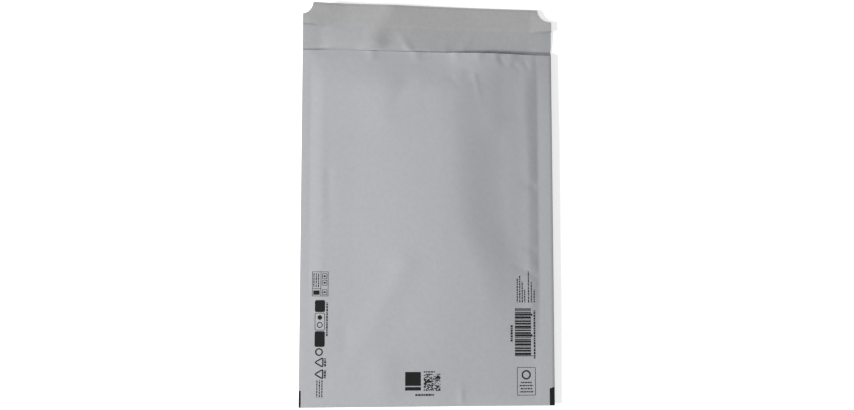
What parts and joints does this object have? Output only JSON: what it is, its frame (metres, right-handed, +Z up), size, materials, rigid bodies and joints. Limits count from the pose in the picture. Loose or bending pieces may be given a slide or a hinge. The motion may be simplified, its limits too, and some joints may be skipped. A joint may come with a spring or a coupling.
{
  "type": "padded envelope",
  "caption": "Padded mailing envelope lying on its back, a folded paper pouch lined with bubble film, with side seams, an open flap with scooped corners and a peel-off glue strip.",
  "frame": {"origin": "on the ground under the middle of the whole envelope, flap included", "axes": "+X across the envelope towards its right side seam, +Y from the bottom fold towards the open flap, +Z up out of the front wall"},
  "size_m": [0.25, 0.397, 0.0113],
  "materials": {
    "white_paper": null,
    "bubble_film": "clear polyethylene bubble film",
    "hot_melt": "tacky pale glue",
    "silicone_paper": "smooth silicone-coated release paper"
  },
  "bodies": {
    "root": {"paper_outer": "white_paper", "bubble_lining": "bubble_film", "glue_line": "hot_melt", "release_liner": "silicone_paper"}
  },
  "joints": []
}
